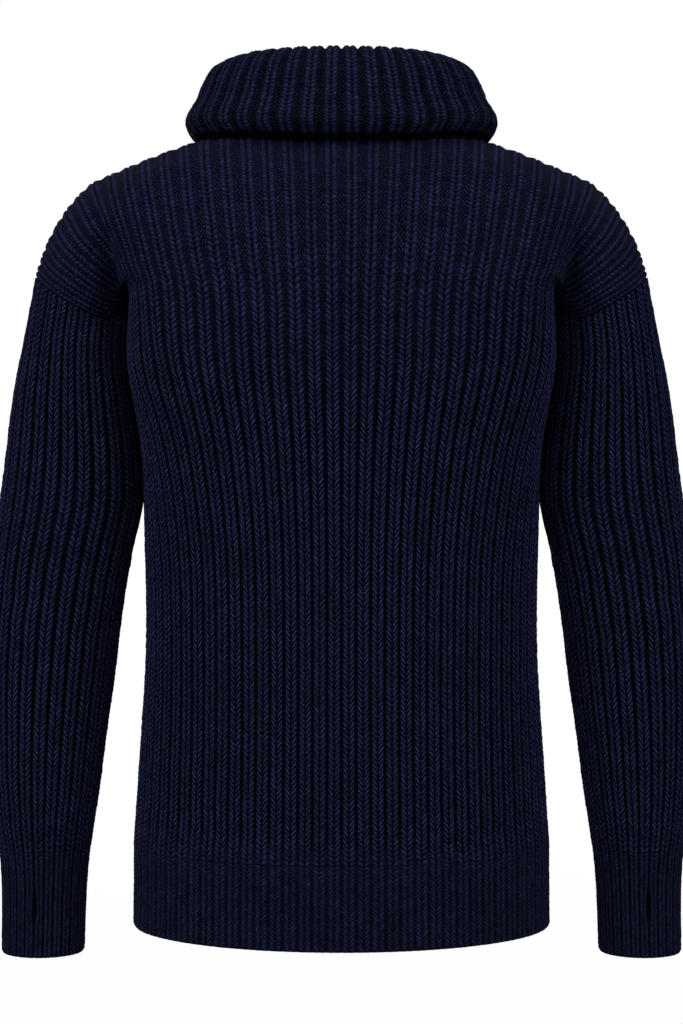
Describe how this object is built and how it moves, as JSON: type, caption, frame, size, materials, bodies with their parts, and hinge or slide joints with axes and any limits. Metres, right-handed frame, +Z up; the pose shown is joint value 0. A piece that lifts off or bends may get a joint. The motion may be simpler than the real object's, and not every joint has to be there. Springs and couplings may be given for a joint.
{
  "type": "turtleneck sweater",
  "caption": "Chunky rib-knit pullover with a folded roll collar, drop shoulders, long sleeves, and fine ribbed hem and cuffs, filled out as worn.",
  "frame": {"origin": "between the shoulders, on the centre line and the shoulder seams' plane, where the wearer's shoulders hold the sweater up", "axes": "+Z up, towards the collar; +X towards the wearer's left sleeve; the front faces -Y and the back +Y"},
  "size_m": [0.6064, 0.2342, 0.7515],
  "materials": {
    "rib_knit": "matte navy wool, chunky rib knit",
    "collar_knit": "matte navy wool, chunky rib knit, folded over",
    "band_knit": "matte navy wool, finer rib knit"
  },
  "bodies": {
    "root": {"back_panel": "rib_knit", "front_panel": "rib_knit", "sleeve_left": "rib_knit", "sleeve_right": "rib_knit", "collar": "collar_knit", "hem_back": "band_knit", "hem_front": "band_knit", "cuff_left": "band_knit", "cuff_right": "band_knit"}
  },
  "joints": []
}
